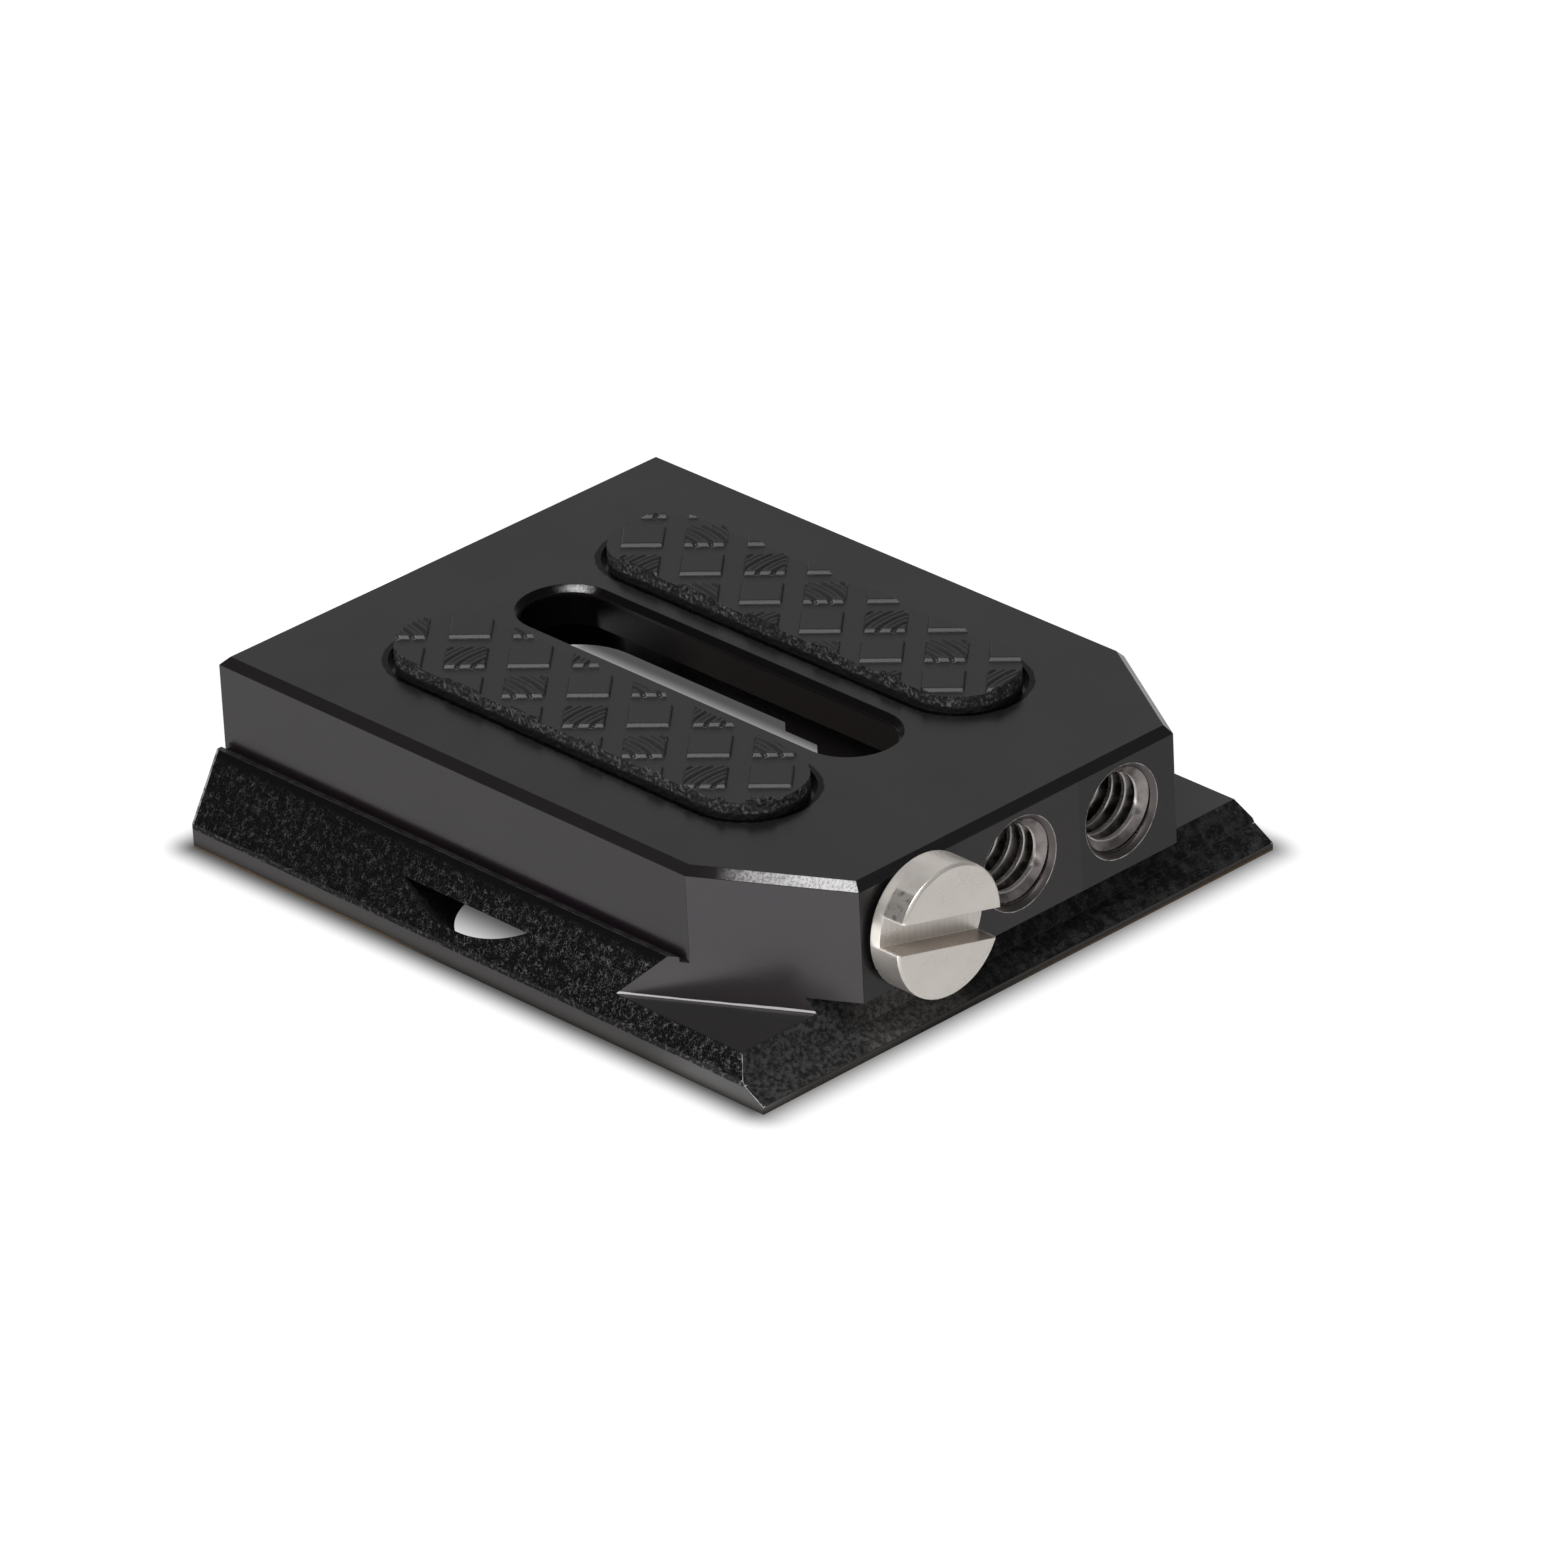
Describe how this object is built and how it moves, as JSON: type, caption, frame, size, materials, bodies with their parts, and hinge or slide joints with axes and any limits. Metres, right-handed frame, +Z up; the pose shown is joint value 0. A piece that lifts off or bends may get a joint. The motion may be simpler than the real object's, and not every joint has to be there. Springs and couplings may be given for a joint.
{
  "type": "quick release plate",
  "caption": "Dovetail quick release plate for a camera: slotted block with cut front corners, rubber grip pads, tapped holes in the front face and a parked slotted screw.",
  "frame": {"origin": "middle of the whole part's footprint, on the surface it stands on; the footprint counts the parked screw's head, which stands 3.3 mm out of the front face", "axes": "+X across the plate to the right seen from the tapped holes, +Y from the tapped front face to the back, +Z up to the face that meets the camera"},
  "size_m": [0.05, 0.0616, 0.0152],
  "materials": {
    "black_anodised": "satin black anodised, bead blasted",
    "rubber": "matt dark grey moulded rubber",
    "stainless_steel": "turned bare stainless steel",
    "bare_aluminium": "bright bare aluminium, cut after anodising"
  },
  "bodies": {
    "root": {"plate_body": "black_anodised", "grip_pad_left": "rubber", "grip_pad_right": "rubber", "camera_screw": "stainless_steel"}
  },
  "joints": []
}
